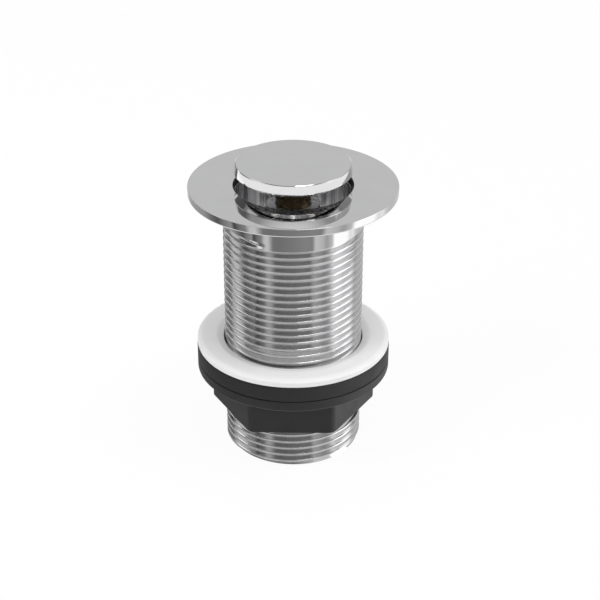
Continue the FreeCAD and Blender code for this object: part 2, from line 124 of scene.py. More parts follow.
# Cartridge and plug
HOUSING_BORE_RADIUS = 7.2
STEM_RADIUS = 5.25
CAP_BOSS_RADIUS = 7.0
CAP_BOSS_HEIGHT = 1.8
CAP_BEVEL_WIDTH = 1.75
CAP_BEVEL_HEIGHT = 1.3
CAP_RIM_TAPER = 0.35
CAP_EDGE = 0.2
CAP_HOLE_RADIUS = 3.05
CAP_ROOF = 2.0
STEM_HOLE_DEPTH = 5.0
AXLE_HOLE_RADIUS = 1.55
SPRING_WIRE = 0.8
SPRING_TURNS = 5.5


# Frame

def height_range(node):
    """The lowest and highest height of a node, in millimetres."""
    low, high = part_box(node)
    return low.z / MM, high.z / MM


def outer_radius(node):
    """The outer radius of a round node about the Z axis, in millimetres."""
    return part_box(node)[1].x / MM


# Meshes

def finish_piece(shape, name, material, sharp_angle=40.0):
    """Makes an object of a finished shape, with smooth shading that keeps flat faces flat."""
    mesh = bpy.data.meshes.new(name)
    shape.to_mesh(mesh)
    shape.free()
    mesh.shade_smooth()
    mesh.set_sharp_from_angle(angle=math.radians(sharp_angle))
    mesh.materials.append(material)
    piece = bpy.data.objects.new(name, mesh)
    bpy.context.scene.collection.objects.link(piece)
    normals = piece.modifiers.new("Flat faces stay flat", "WEIGHTED_NORMAL")
    normals.keep_sharp = True
    return piece


def place_piece(piece, node, body):
    """Lets a piece stand for a CAD node: hangs it on its body and hides the node."""
    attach(piece, body)
    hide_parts(node)
    return piece


def round_corner(shape, corner, rounding, steps=CORNER_STEPS):
    bmesh.ops.bevel(shape, geom=[corner], offset=rounding * MM, offset_type="OFFSET",
                    segments=steps, profile=0.5, affect="VERTICES", material=-1)


def draw_profile(shape, corners, closed):
    """Draws a profile in the XZ plane through corners (radius, height, rounding)."""
    points = [shape.verts.new((radius * MM, 0, height * MM)) for radius, height, _ in corners]
    for start, end in zip(points, points[1:]):
        shape.edges.new((start, end))
    if closed:
        shape.edges.new((points[-1], points[0]))
    for point, (_, _, rounding) in zip(points, corners):
        if rounding:
            round_corner(shape, point, rounding)


def spin_profile(shape, steps=ROUND_STEPS):
    bmesh.ops.spin(shape, geom=shape.verts[:] + shape.edges[:], cent=(0, 0, 0), axis=(0, 0, 1),
                   dvec=(0, 0, 0), angle=2 * math.pi, steps=steps, use_merge=True,
                   use_duplicate=False)
    bmesh.ops.remove_doubles(shape, verts=shape.verts[:], dist=WELD * MM)


def turn_piece(name, corners, material, closed=True, steps=ROUND_STEPS):
    """A turned piece from the corners of its half section."""
    shape = bmesh.new()
    draw_profile(shape, corners, closed)
    spin_profile(shape, steps)
    bmesh.ops.recalc_face_normals(shape, faces=shape.faces[:])
    return finish_piece(shape, name, material)


def turn_ring(name, radius, height, section, material, sides=16, steps=96):
    """A ring of round section."""
    shape = bmesh.new()
    bmesh.ops.create_circle(shape, segments=sides, radius=section / 2 * MM)
    bmesh.ops.rotate(shape, verts=shape.verts[:], matrix=Matrix.Rotation(math.pi / 2, 3, "X"))
    bmesh.ops.translate(shape, verts=shape.verts[:], vec=(radius * MM, 0, height * MM))
    spin_profile(shape, steps)
    bmesh.ops.recalc_face_normals(shape, faces=shape.faces[:])
    return finish_piece(shape, name, material)


def soften_node(name, node, material, width, sharp_angle=30.0):
    """A copy of a CAD node's mesh with its sharp edges rounded by width."""
    shape = bmesh.new()
    shape.from_mesh(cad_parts[node].data)
    bmesh.ops.remove_doubles(shape, verts=shape.verts[:], dist=WELD * MM)
    bmesh.ops.dissolve_limit(shape, angle_limit=math.radians(0.5), verts=shape.verts[:],
                             edges=shape.edges[:])
    limit = math.radians(sharp_angle)
    edges = [edge for edge in shape.edges if edge.is_manifold and edge.calc_face_angle() > limit]
    bmesh.ops.bevel(shape, geom=edges, offset=width * MM, offset_type="OFFSET", segments=2,
                    profile=0.5, affect="EDGES", material=-1)
    return finish_piece(shape, name, material)


def edges_at(shape, height):
    """The open edges of a shape that lie in the plane at a height."""
    level = height * MM
    return [edge for edge in shape.edges if edge.is_boundary
            and all(abs(point.co.z - level) < WELD * MM for point in edge.verts)]


def fill_ring(shape, height, up):
    """Closes what is open in the plane at a height, such as the flat ring between two loops."""
    bmesh.ops.triangle_fill(shape, edges=edges_at(shape, height), use_beauty=True,
                            normal=(0, 0, 1 if up else -1))


def thread_skin(shape, radius, pitch, depth, angle, low, high, start=0.0, steps=ROUND_STEPS):
    """The skin of a right-hand thread with rounded crests and roots, long enough to reach from low
    to high.

    start is a height at which the thread's profile begins on the +X side.
    """
    slope = math.tan(math.radians(angle / 2))
    peak = pitch / 4 / slope
    line = radius - depth / 2
    cut = (peak - depth / 2) / math.cos(math.radians(angle / 2)) * THREAD_ROUNDING
    base = start - pitch * math.ceil((start - low) / pitch + 1)
    turns = math.ceil((high - base) / pitch) + 1
    corners = [(line, base, 0), (line + peak, base + pitch / 4, cut),
               (line - peak, base + 3 * pitch / 4, cut), (line, base + pitch, 0)]
    points = [shape.verts.new((across * MM, 0, up * MM)) for across, up, _ in corners]
    for first, second in zip(points, points[1:]):
        shape.edges.new((first, second))
    for point in points[1:3]:
        round_corner(shape, point, cut, steps=5)
    bmesh.ops.spin(shape, geom=shape.verts[:] + shape.edges[:], cent=(0, 0, 0), axis=(0, 0, 1),
                   dvec=(0, 0, pitch / steps * MM), angle=2 * math.pi, steps=steps,
                   use_merge=False, use_duplicate=False)
    turn = bpy.data.meshes.new("one turn")
    shape.to_mesh(turn)
    for _ in range(turns - 1):
        turn.transform(Matrix.Translation((0, 0, pitch * MM)))
        shape.from_mesh(turn)
    bpy.data.meshes.remove(turn)
    bmesh.ops.remove_doubles(shape, verts=shape.verts[:], dist=WELD * MM)


def trim_skin(shape, low, high):
    """Cuts a skin off at two heights."""
    for level, above in ((low, False), (high, True)):
        bmesh.ops.bisect_plane(shape, geom=shape.verts[:] + shape.edges[:] + shape.faces[:],
                               dist=WELD * MM / 10, plane_co=(0, 0, level * MM),
                               plane_no=(0, 0, 1), clear_outer=above, clear_inner=not above)


def set_radius(point, radius):
    scale = radius * MM / math.hypot(point.co.x, point.co.y)
    point.co.x *= scale
    point.co.y *= scale


def chamfer_end(shape, low, radius, chamfer):
    """Cuts a chamfer of 45 degrees on the lower end of a thread."""
    for point in shape.verts:
        limit = radius - chamfer + max(point.co.z / MM - low, 0.0)
        if math.hypot(point.co.x, point.co.y) / MM > limit:
            set_radius(point, limit)


def add_shape(shape, other):
    """Adds another shape to a shape."""
    mesh = bpy.data.meshes.new("added")
    other.to_mesh(mesh)
    other.free()
    shape.from_mesh(mesh)
    bpy.data.meshes.remove(mesh)


def smooth_step(share):
    share = min(max(share, 0.0), 1.0)
    return share * share * (3 - 2 * share)


# Finishes

def new_finish(name, colour, metallic, roughness):
    """A material with its shader set, its node tree and the shader's node."""
    material = bpy.data.materials.new(name)
    material.use_nodes = True
    tree = material.node_tree
    shader = tree.nodes["Principled BSDF"]
    shader.inputs["Base Color"].default_value = (*colour, 1)
    shader.inputs["Metallic"].default_value = metallic
    shader.inputs["Roughness"].default_value = roughness
    return material, tree, shader


def add_node(tree, kind, **settings):
    node = tree.nodes.new(kind)
    for name, value in settings.items():
        setattr(node, name, value)
    return node


def object_noise(tree, scale, detail, stretch=(1, 1, 1)):
    """Noise on the object's own coordinates; scale is in waves to the metre."""
    place = add_node(tree, "ShaderNodeTexCoord")
    mapping = add_node(tree, "ShaderNodeMapping")
    mapping.inputs["Scale"].default_value = stretch
    noise = add_node(tree, "ShaderNodeTexNoise")
    noise.inputs["Scale"].default_value = scale
    noise.inputs["Detail"].default_value = detail
    tree.links.new(place.outputs["Object"], mapping.inputs["Vector"])
    tree.links.new(mapping.outputs["Vector"], noise.inputs["Vector"])
    return noise.outputs["Fac"]


def vary(tree, shader, socket, source, low, high):
    """Lets a noise move a number socket between low and high."""
    spread = add_node(tree, "ShaderNodeMapRange")
    spread.inputs["From Min"].default_value = 0.3
    spread.inputs["From Max"].default_value = 0.7
    spread.inputs["To Min"].default_value = low
    spread.inputs["To Max"].default_value = high
    tree.links.new(source, spread.inputs["Value"])
    tree.links.new(spread.outputs["Result"], shader.inputs[socket])


def tint(tree, shader, source, dark, light):
    """Lets a noise move the colour between two shades."""
    ramp = add_node(tree, "ShaderNodeValToRGB")
    ramp.color_ramp.elements[0].position = 0.3
    ramp.color_ramp.elements[1].position = 0.7
    ramp.color_ramp.elements[0].color = (*dark, 1)
    ramp.color_ramp.elements[1].color = (*light, 1)
    tree.links.new(source, ramp.inputs["Fac"])
    tree.links.new(ramp.outputs["Color"], shader.inputs["Base Color"])


def roughen(tree, shader, sources, depth):
    """Bump from one or more noises; depth is the height of the relief in metres."""
    previous = None
    for source, strength in sources:
        bump = add_node(tree, "ShaderNodeBump")
        bump.inputs["Strength"].default_value = strength
        bump.inputs["Distance"].default_value = depth
        tree.links.new(source, bump.inputs["Height"])
        if previous is not None:
            tree.links.new(previous, bump.inputs["Normal"])
        previous = bump.outputs["Normal"]
    tree.links.new(previous, shader.inputs["Normal"])


def make_chrome():
    material, tree, shader = new_finish("polished chrome", (0.64, 0.64, 0.645), 1.0, 0.03)
    cloud = object_noise(tree, 120, 3)
    tint(tree, shader, cloud, (0.63, 0.63, 0.636), (0.65, 0.65, 0.653))
    vary(tree, shader, "Roughness", cloud, 0.02, 0.045)
    roughen(tree, shader, [(object_noise(tree, 260, 2), 0.05)], 0.00003)
    return material


def make_thread_plate():
    """Chrome over lathe-turned flanks, which smear what they mirror across the turning marks."""
    material, tree, shader = new_finish("plated thread", (0.64, 0.64, 0.645), 1.0, 0.11)
    cloud = object_noise(tree, 500, 3)
    tint(tree, shader, cloud, (0.6, 0.6, 0.606), (0.64, 0.64, 0.644))
    shader.inputs["Anisotropic"].default_value = 0.6
    shader.inputs["Anisotropic Rotation"].default_value = 0.25
    along = add_node(tree, "ShaderNodeTangent", direction_type="RADIAL", axis="Z")
    tree.links.new(along.outputs["Tangent"], shader.inputs["Tangent"])
    return material


def make_bore_plate():
    """The thin, dull plating inside the tube, on the bush and under the cap, with faint streaks."""
    material, tree, shader = new_finish("dull bore plating", (0.45, 0.45, 0.46), 0.7, 0.3)
    streaks = object_noise(tree, 800, 3, (1, 1, 0.04))
    tint(tree, shader, streaks, (0.14, 0.14, 0.145), (0.72, 0.72, 0.73))
    vary(tree, shader, "Roughness", streaks, 0.2, 0.42)
    return material


def make_brass():
    # The colour and both tint shades are far darker than bare brass: brass's own tone with painted
    # shade, for the stem that sits in shadow in the gap under the cap.
    material, tree, shader = new_finish("turned brass", (0.30, 0.22, 0.11), 1.0, 0.25)
    stain = object_noise(tree, 450, 5)
    tint(tree, shader, stain, (0.17, 0.125, 0.07), (0.22, 0.165, 0.095))
    lathe = object_noise(tree, 90, 2, (1, 1, 90))
    vary(tree, shader, "Roughness", stain, 0.18, 0.34)
    roughen(tree, shader, [(lathe, 0.25)], 0.00002)
    return material


def make_cast_brass():
    material, tree, shader = new_finish("cast brass", (0.55, 0.45, 0.28), 1.0, 0.42)
    stain = object_noise(tree, 260, 6)
    tint(tree, shader, stain, (0.42, 0.34, 0.2), (0.62, 0.52, 0.34))
    vary(tree, shader, "Roughness", stain, 0.36, 0.5)
    roughen(tree, shader, [(object_noise(tree, 1800, 3), 0.35)], 0.00005)
    return material


def make_steel():
    material, tree, shader = new_finish("spring steel", (0.6, 0.6, 0.6), 1.0, 0.28)
    drawn = object_noise(tree, 900, 3)
    tint(tree, shader, drawn, (0.52, 0.52, 0.53), (0.66, 0.66, 0.66))
    vary(tree, shader, "Roughness", drawn, 0.22, 0.36)
    return material


def make_white_plastic():
    material, tree, shader = new_finish("white polythene", (0.86, 0.86, 0.86), 0.0, 0.42)
    cloud = object_noise(tree, 140, 4)
    tint(tree, shader, cloud, (0.81, 0.805, 0.805), (0.835, 0.832, 0.83))
    vary(tree, shader, "Roughness", cloud, 0.36, 0.48)
    roughen(tree, shader, [(object_noise(tree, 2500, 2), 0.12)], 0.00003)
    return material


def make_black_plastic():
    material, tree, shader = new_finish("black moulding", (0.012, 0.012, 0.0125), 0.0, 0.5)
    cloud = object_noise(tree, 200, 4)
    tint(tree, shader, cloud, (0.010, 0.010, 0.0105), (0.015, 0.0145, 0.015))
    vary(tree, shader, "Roughness", cloud, 0.44, 0.56)
    roughen(tree, shader, [(object_noise(tree, 5200, 3), 0.3)], 0.00003)
    return material


def make_rubber():
    material, tree, shader = new_finish("black rubber", (0.010, 0.010, 0.010), 0.0, 0.6)
    cloud = object_noise(tree, 160, 5)
    tint(tree, shader, cloud, (0.008, 0.008, 0.008), (0.013, 0.013, 0.013))
    vary(tree, shader, "Roughness", cloud, 0.55, 0.7)
    roughen(tree, shader, [(object_noise(tree, 3600, 4), 0.35)], 0.00004)
    return material


def make_acetal():
    material, tree, shader = new_finish("natural acetal", (0.78, 0.77, 0.72), 0.0, 0.35)
    cloud = object_noise(tree, 300, 3)
    tint(tree, shader, cloud, (0.75, 0.74, 0.69), (0.8, 0.79, 0.74))
    vary(tree, shader, "Roughness", cloud, 0.3, 0.42)
    return material


def make_fibre():
    material, tree, shader = new_finish("red fibre", (0.4, 0.12, 0.07), 0.0, 0.7)
    weave = object_noise(tree, 1600, 6)
    tint(tree, shader, weave, (0.3, 0.08, 0.05), (0.48, 0.16, 0.1))
    vary(tree, shader, "Roughness", weave, 0.6, 0.8)
    roughen(tree, shader, [(weave, 0.4)], 0.00005)
    return material


FINISHES = {
    "chrome": make_chrome(),
    "bore_plate": make_bore_plate(),
    "thread_plate": make_thread_plate(),
    "brass": make_brass(),
    "cast_brass": make_cast_brass(),
    "steel": make_steel(),
    "white_plastic": make_white_plastic(),
    "black_plastic": make_black_plastic(),
    "black_rubber": make_rubber(),
    "acetal": make_acetal(),
    "fibre": make_fibre(),
}


# The waste body and what is fixed in it

def end_thread(shape, start):
    """Fades the thread out into the plain collar below the flange, and trims its crests."""
    line_share = 0.25
    end = (THREAD_END_HEIGHT - start) / THREAD_PITCH - 0.75
    for point in shape.verts:
        azimuth = math.atan2(point.co.y, point.co.x) / (2 * math.pi)
        along = (point.co.z / MM - start) / THREAD_PITCH - azimuth
        groove = math.floor(along - line_share) + azimuth
        share = smooth_step((end - groove) / THREAD_FADE_TURNS)
        radius = min(math.hypot(point.co.x, point.co.y) / MM, THREAD_RADIUS)
        set_radius(point, THREAD_RADIUS - (THREAD_RADIUS - radius) * share)


def make_waste_body():
    top = height_range("waste_body")[1]
    flange_radius = outer_radius("waste_body")
    under = top - FLANGE_THICK
    turn_share = THREAD_END_AZIMUTH / 360
    start = THREAD_END_HEIGHT - THREAD_PITCH * (0.75 + turn_share)
    shape = bmesh.new()
    thread_skin(shape, THREAD_RADIUS, THREAD_PITCH, THREAD_DEPTH, THREAD_ANGLE, 0, under, start)
    end_thread(shape, start)
    chamfer_end(shape, 0, THREAD_RADIUS, TAIL_CHAMFER)
    trim_skin(shape, 0, under)
    for face in shape.faces:
        inmost = min(math.hypot(point.co.x, point.co.y) for point in face.verts) / MM
        high_up = face.calc_center_median().z / MM > THREAD_END_HEIGHT - THREAD_PITCH
        collar = high_up and inmost > THREAD_RADIUS - 0.05
        face.material_index = 0 if collar else THREAD_PLACE
    inside = bmesh.new()
    groove_low = top - SEAL_DEPTH - SEAL_GROOVE / 2
    groove_high = top - SEAL_DEPTH + SEAL_GROOVE / 2
    groove_radius = BORE_RADIUS + SEAL_SECTION - SEAL_REACH
    draw_profile(inside, [
        (THREAD_RADIUS + 0.5, under, 0),
        (flange_radius, under, 0.5),
        (flange_radius, top, 0.12),
        (BORE_RADIUS, top, 0.3),
        (BORE_RADIUS, groove_high, 0.08),
        (groove_radius, groove_high, 0),
        (groove_radius, groove_low, 0),
        (BORE_RADIUS, groove_low, 0.08),
        (BORE_RADIUS, SHOULDER_HEIGHT, 0),
        (TAIL_BORE_RADIUS, SHOULDER_HEIGHT, 0.15),
        (TAIL_BORE_RADIUS, 0, 0.3),
        (THREAD_RADIUS - TAIL_CHAMFER - 0.8, 0, 0),
    ], closed=False)
    spin_profile(inside)
    for face in inside.faces:
        middle = face.calc_center_median()
        if middle.z < groove_low * MM and math.hypot(middle.x, middle.y) < BORE_RADIUS * MM:
            face.material_index = BORE_PLACE
    add_shape(shape, inside)
    fill_ring(shape, 0, False)
    fill_ring(shape, under, False)
    bmesh.ops.recalc_face_normals(shape, faces=shape.faces[:])
    piece = finish_piece(shape, "threaded_body", FINISHES["chrome"], 50.0)
    piece.data.materials.append(FINISHES["bore_plate"])
    piece.data.materials.append(FINISHES["thread_plate"])
    place_piece(piece, "waste_body", "waste")


def make_mouth_seal():
    low, high = height_range("mouth_seal")
    radius = outer_radius("mouth_seal") - SEAL_SECTION / 2
    piece = turn_ring("mouth_ring", radius, (low + high) / 2, SEAL_SECTION,
                      FINISHES["black_rubber"])
    place_piece(piece, "mouth_seal", "waste")


def make_cross_bar():
    piece = soften_node("cross_casting", "cross_bar", FINISHES["cast_brass"], 0.25)
    place_piece(piece, "cross_bar", "waste")


def make_base_stud():
    low, high = height_range("base_stud")
    stud_top = height_range("stud_washer")[1]
    head_radius = outer_radius("base_stud")
    plug_low = height_range("cartridge_housing")[0]
    shape = bmesh.new()
    thread_skin(shape, STUD_RADIUS, STUD_PITCH, STUD_DEPTH, STUD_ANGLE, low, stud_top, steps=40)
    chamfer_end(shape, low, STUD_RADIUS, STUD_CHAMFER)
    trim_skin(shape, low, stud_top)
    core = bmesh.new()
    draw_profile(core, [
        (STUD_RADIUS + 0.2, stud_top, 0),
        (head_radius, stud_top, 0.15),
        (head_radius, plug_low, 0.05),
        (HOUSING_BORE_RADIUS - FIT, plug_low, 0),
        (HOUSING_BORE_RADIUS - FIT, high, 0.2),
        (0, high, 0),
    ], closed=False)
    spin_profile(core, 80)
    add_shape(shape, core)
    fill_ring(shape, stud_top, False)
    fill_ring(shape, low, False)
    bmesh.ops.recalc_face_normals(shape, faces=shape.faces[:])
    piece = finish_piece(shape, "cartridge_stud", FINISHES["brass"], 50.0)
    place_piece(piece, "base_stud", "waste")


def make_stud_nut():
    piece = soften_node("stud_lock_nut", "stud_nut", FINISHES["brass"], 0.3)
    place_piece(piece, "stud_nut", "waste")


def make_housing():
    low, high = height_range("cartridge_housing")
    radius = outer_radius("cartridge_housing")
    piece = turn_piece("cartridge_tube", [
        (HOUSING_BORE_RADIUS, low, 0),
        (radius, low, 0.12),
        (radius, high, 0.12),
        (HOUSING_BORE_RADIUS, high, 0),
    ], FINISHES["chrome"], steps=80)
    place_piece(piece, "cartridge_housing", "waste")


def make_top_bush():
    low, high = height_range("top_bush")
    seat = height_range("cartridge_housing")[1]
    radius = outer_radius("top_bush")
    middle = (low + seat) / 2
    bore = STEM_RADIUS + FIT
    room = WIPER_SECTION / 2 + FIT
    groove = bore + WIPER_SECTION + 2 * FIT
    piece = turn_piece("guide_bush", [
        (bore, low, 0.1),
        (HOUSING_BORE_RADIUS - FIT, low, 0.1),
        (HOUSING_BORE_RADIUS - FIT, seat, 0),
        (radius, seat, 0.05),
        (radius, high, 0.35),
        (bore, high, 0.15),
        (bore, middle + room, 0),
        (groove, middle + room, 0),
        (groove, middle - room, 0),
        (bore, middle - room, 0),
    ], FINISHES["bore_plate"], steps=80)
    place_piece(piece, "top_bush", "waste")


def make_wiper_ring():
    low, high = height_range("wiper_ring")
    radius = outer_radius("wiper_ring") - WIPER_SECTION / 2
    piece = turn_ring("stem_wiper", radius, (low + high) / 2, WIPER_SECTION,
                      FINISHES["black_rubber"], sides=12, steps=64)
    place_piece(piece, "wiper_ring", "waste")


def make_cam_sleeve():
    piece = soften_node("ribbed_sleeve", "cam_sleeve", FINISHES["acetal"], 0.06)
    place_piece(piece, "cam_sleeve", "waste")


def make_spring():
    low, high = height_range("return_spring")
    radius = outer_radius("return_spring") - SPRING_WIRE / 2
    steps = 36
    rise = high - low - SPRING_WIRE
    shape = bmesh.new()
    bmesh.ops.create_circle(shape, segments=12, radius=SPRING_WIRE / 2 * MM, cap_ends=False)
    bmesh.ops.rotate(shape, verts=shape.verts[:], matrix=Matrix.Rotation(math.pi / 2, 3, "X"))
    bmesh.ops.translate(shape, verts=shape.verts[:],
                        vec=(radius * MM, 0, (low + SPRING_WIRE / 2) * MM))
    count = int(steps * SPRING_TURNS)
    bmesh.ops.spin(shape, geom=shape.verts[:] + shape.edges[:], cent=(0, 0, 0), axis=(0, 0, 1),
                   dvec=(0, 0, rise / count * MM), angle=2 * math.pi * SPRING_TURNS, steps=count,
                   use_merge=False, use_duplicate=False)
    bmesh.ops.holes_fill(shape, edges=[edge for edge in shape.edges if edge.is_boundary], sides=0)
    bmesh.ops.recalc_face_normals(shape, faces=shape.faces[:])
    piece = finish_piece(shape, "coil_spring", FINISHES["steel"], 50.0)
    place_piece(piece, "return_spring", "waste")
    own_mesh(piece)


# The plug

def make_plug_cap():
    low, high = height_range("plug_cap")
    radius = outer_radius("plug_cap")
    under = low + CAP_BOSS_HEIGHT
    roof = high - CAP_ROOF
    piece = turn_piece("plug_disc", [
        (0, roof, 0),
        (CAP_HOLE_RADIUS, roof, 0),
        (CAP_HOLE_RADIUS, low, 0),
        (CAP_BOSS_RADIUS, low, 0.2),
        (CAP_BOSS_RADIUS, under, 0),
        (radius - CAP_BEVEL_WIDTH, under, 0.15),
        (radius, under + CAP_BEVEL_HEIGHT, 0.12),
        (radius - CAP_RIM_TAPER, high - CAP_EDGE, 0.02),
        (radius - CAP_RIM_TAPER - CAP_EDGE, high, 0.02),
        (0, high, 0),
    ], FINISHES["chrome"], closed=False)
    piece.data.materials.append(FINISHES["bore_plate"])
    for face in piece.data.polygons:
        across = math.hypot(face.center.x, face.center.y)
        if face.center.z < (under + 0.1) * MM and across < (radius - CAP_BEVEL_WIDTH) * MM:
            face.material_index = 1
    place_piece(piece, "plug_cap", "plug")


def make_stem():
    low, high = height_range("plunger_stem")
    floor = high - STEM_HOLE_DEPTH
    piece = turn_piece("brass_stem", [
        (AXLE_HOLE_RADIUS, low, 0),
        (STEM_RADIUS, low, 0.15),
        (STEM_RADIUS, high, 0.35),
        (CAP_HOLE_RADIUS, high, 0),
        (CAP_HOLE_RADIUS, floor, 0),
        (0, floor, 0),
    ], FINISHES["brass"], closed=False, steps=80)
    place_piece(piece, "plunger_stem", "plug")


def make_crown():
    piece = soften_node("toothed_crown", "pusher_crown", FINISHES["acetal"], 0.06)
    place_piece(piece, "pusher_crown", "plug")


def make_rotor():
    piece = soften_node("finned_rotor", "latch_rotor", FINISHES["acetal"], 0.06)
    place_piece(piece, "latch_rotor", "rotor")


# Washers and nut

def make_white_washer():
    low, high = height_range("white_washer")
    radius = outer_radius("white_washer")
    piece = turn_piece("white_clamp_washer", [
        (WASHER_HOLE_RADIUS, low, 0.1),
        (radius, low, 0.25),
        (radius, high - WASHER_SLOPE_HEIGHT, 0.25),
        (radius - WASHER_RIM_SLOPE, high, 0.4),
        (WASHER_HOLE_RADIUS + WASHER_HOLE_SLOPE, high, 0.4),
        (WASHER_HOLE_RADIUS, high - WASHER_SLOPE_HEIGHT, 0.15),
    ], FINISHES["white_plastic"])
    place_piece(piece, "white_washer", "washers")


def make_rubber_washer():
    low, high = height_range("rubber_washer")
    radius = outer_radius("rubber_washer")
    piece = turn_piece("thick_rubber_washer", [
        (WASHER_HOLE_RADIUS, low, 0.2),
        (radius, low, 0.8),
        (radius, high, 0.8),
        (WASHER_HOLE_RADIUS, high, 0.2),
    ], FINISHES["black_rubber"])
    place_piece(piece, "rubber_washer", "washers")


def make_back_nut():
    low, high = height_range("back_nut")
    radius = outer_radius("back_nut")
    under = high - NUT_FLANGE_THICK
    shape = bmesh.new()
    bmesh.ops.create_circle(shape, segments=6, radius=NUT_FLATS / 2 / math.cos(math.pi / 6) * MM)
    for corner in shape.verts[:]:
        round_corner(shape, corner, NUT_CORNER_CUT, steps=4)
    outline = shape.edges[:]
    turned = Matrix.Rotation(math.radians(30 + NUT_TURNED_BY), 3, "Z")
    bmesh.ops.rotate(shape, verts=shape.verts[:], matrix=turned)
    bmesh.ops.translate(shape, verts=shape.verts[:], vec=(0, 0, low * MM))
    walls = bmesh.ops.extrude_edge_only(shape, edges=outline)
    raised = [item for item in walls["geom"] if isinstance(item, bmesh.types.BMVert)]
    bmesh.ops.translate(shape, verts=raised, vec=(0, 0, (under - low) * MM))
    bore = THREAD_RADIUS + FIT
    wide = bore + NUT_CHAMFER
    inside = bmesh.new()
    draw_profile(inside, [
        (radius - 1.2, under, 0),
        (radius, under, 0.5),
        (radius, high, 0.45),
        (wide, high, 0),
        (bore, high - NUT_CHAMFER, 0),
        (bore, low + NUT_CHAMFER, 0),
        (wide - 0.2, low, 0),
    ], closed=False)
    spin_profile(inside)
    add_shape(shape, inside)
    fill_ring(shape, low, False)
    fill_ring(shape, under, False)
    bmesh.ops.recalc_face_normals(shape, faces=shape.faces[:])
    rim = [edge for edge in shape.edges if edge.is_manifold
           and abs(edge.verts[0].co.z - low * MM) < WELD * MM
           and abs(edge.verts[1].co.z - low * MM) < WELD * MM
           and edge.calc_face_angle() > math.radians(60)]
    bmesh.ops.bevel(shape, geom=rim, offset=NUT_EDGE * MM, offset_type="OFFSET", segments=3,
                    profile=0.5, affect="EDGES", material=-1)
    piece = finish_piece(shape, "hexagon_back_nut", FINISHES["black_plastic"])
    place_piece(piece, "back_nut", "nut")


# CAD nodes that keep their own shape

KEPT_NODES = {
    "stud_washer": "fibre",
    "cap_washer": "white_plastic",
    "cap_stud": "brass",
    "rotor_axle": "steel",
    "slip_washer": "steel",
}


def finish_kept_nodes():
    for node, slot in KEPT_NODES.items():
        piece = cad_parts[node]
        if not piece.material_slots:
            piece.data.materials.append(FINISHES[slot])
        for place in piece.material_slots:
            place.material = FINISHES[slot]


# Studio

# Share of the light that the chrome mirrors. "Seen" below is the brightness after that.
CHROME_SHARE = 0.64

# Cards around the object below the horizon: azimuth from the camera's side, brightness seen
LOW_CARDS_RANGE = (-45, -18.5)
LOW_CARDS = [
    (-180, 0.56), (-166, 0.43), (-145, 0.3), (-112, 0.25), (-100, 0.14), (-90, 0.08),
    (-80, 0.18), (-71, 0.25), (-67, 0.05), (-60, 0.15), (-53, 0.2), (-48, 0.47), (-42, 0.5),
    (-33, 0.16), (-24, 0.15), (0, 0.18), (20, 0.21), (31, 0.2), (37, 0.5), (49, 0.42),
    (56, 0.31), (66, 0.47), (71, 0.99), (97, 0.97), (106, 0.68), (113, 0.76), (122, 0.52),
    (132, 0.44), (160, 0.46), (180, 0.56),
]

# Rings of the studio outside the cards: elevation, brightness seen
RINGS = [
    (-90, 0.8), (-56, 0.8), (-46, 0.5), (-20, 0.5), (-17, 0.77), (-8, 0.77), (-1, 0.34), (38, 0.36),
    (42, 0.85), (51, 0.8), (55, 0.12), (62, 0.12), (66, 0.4), (76, 0.25), (90, 0.22),
]

# Cards above the horizon, which the upper flanks of the thread mirror
UPPER_CARDS_RANGE = (-2, 34.5)
UPPER_CARDS = [
    (-180, 0.2), (-140, 0.14), (-112, 0.11), (-98, 0.05), (-72, 0.07), (-58, 0.14), (-50, 0.2),
    (-36, 0.2), (-24, 0.13), (0, 0.13), (17, 0.28), (31, 0.36), (37, 0.55), (60, 0.48), (68, 0.6),
    (72, 1.9), (100, 1.8), (106, 0.5), (125, 0.4), (160, 0.36), (180, 0.47),
]

# Wall behind the object, which the flat tops mirror: where it starts, as an azimuth to both
# sides, its elevation range and its brightness seen
BACK_WALL_START = 150
BACK_WALL_RANGE = (15, 48)
BACK_WALL = 0.47

# Softboxes: azimuth range, elevation range, brightness
SOFTBOXES = [
    ((8, 82), (64, 76), 8.0),
    ((-136, -107), (14, 20), 2.0),
]

# Half widths, in degrees, of the soft edges of cards, walls and softboxes
CARD_EDGES = (3, 1.5)
WALL_EDGE = 4
SHARP_EDGES = (1, 1)

# Lamps in the bore: number, watts and millimetres
BORE_LIGHTS = 6
BORE_LIGHT_POWER = 0.0008
BORE_LIGHT_RADIUS = 12.8
BORE_LIGHT_HEIGHT = 58.0
BORE_LIGHT_SIZE = 2.0

# Lamp on the left: watts, metres and degrees
LEFT_LIGHT_POWER = 1.9
LEFT_LIGHT_SIZE = 0.3
LEFT_LIGHT_PLACE = (-0.45, -0.3, 0.5)
LEFT_LIGHT_TILT = 48
LEFT_LIGHT_TURN = -56

# Floor: half its width in metres, its depth below the object and its glow for the camera
FLOOR_SIZE = 2.0
FLOOR_DROP = 0.1
FLOOR_GLOW = 0.93

# Camera, fitted to the photograph: millimetres, metres and degrees
CAMERA_LENS = 93.209
CAMERA_SENSOR = 36
CAMERA_SHIFT = (0.011267, 0.0059)
CAMERA_PLACE = (0, -0.41553, 0.27269)
CAMERA_TILT = 61.332


def world_math(tree, operation, first, second=None):
    node = add_node(tree, "ShaderNodeMath", operation=operation)
    for number, value in enumerate((first, second)):
        if value is None:
            continue
        if isinstance(value, (int, float)):
            node.inputs[number].default_value = value
        else:
            tree.links.new(value, node.inputs[number])
    return node.outputs[0]


def world_ramp(tree, source, stops, low, high):
    """Brightness of the studio from stops (angle, brightness seen in chrome)."""
    node = add_node(tree, "ShaderNodeValToRGB")
    ramp = node.color_ramp
    tree.links.new(source, node.inputs["Fac"])
    for number, (angle, seen) in enumerate(stops):
        place = (angle - low) / (high - low)
        if number < 2:
            element = ramp.elements[number]
            element.position = place
        else:
            element = ramp.elements.new(place)
        level = seen / CHROME_SHARE
        element.color = (level, level, level, 1)
    return node.outputs["Color"]


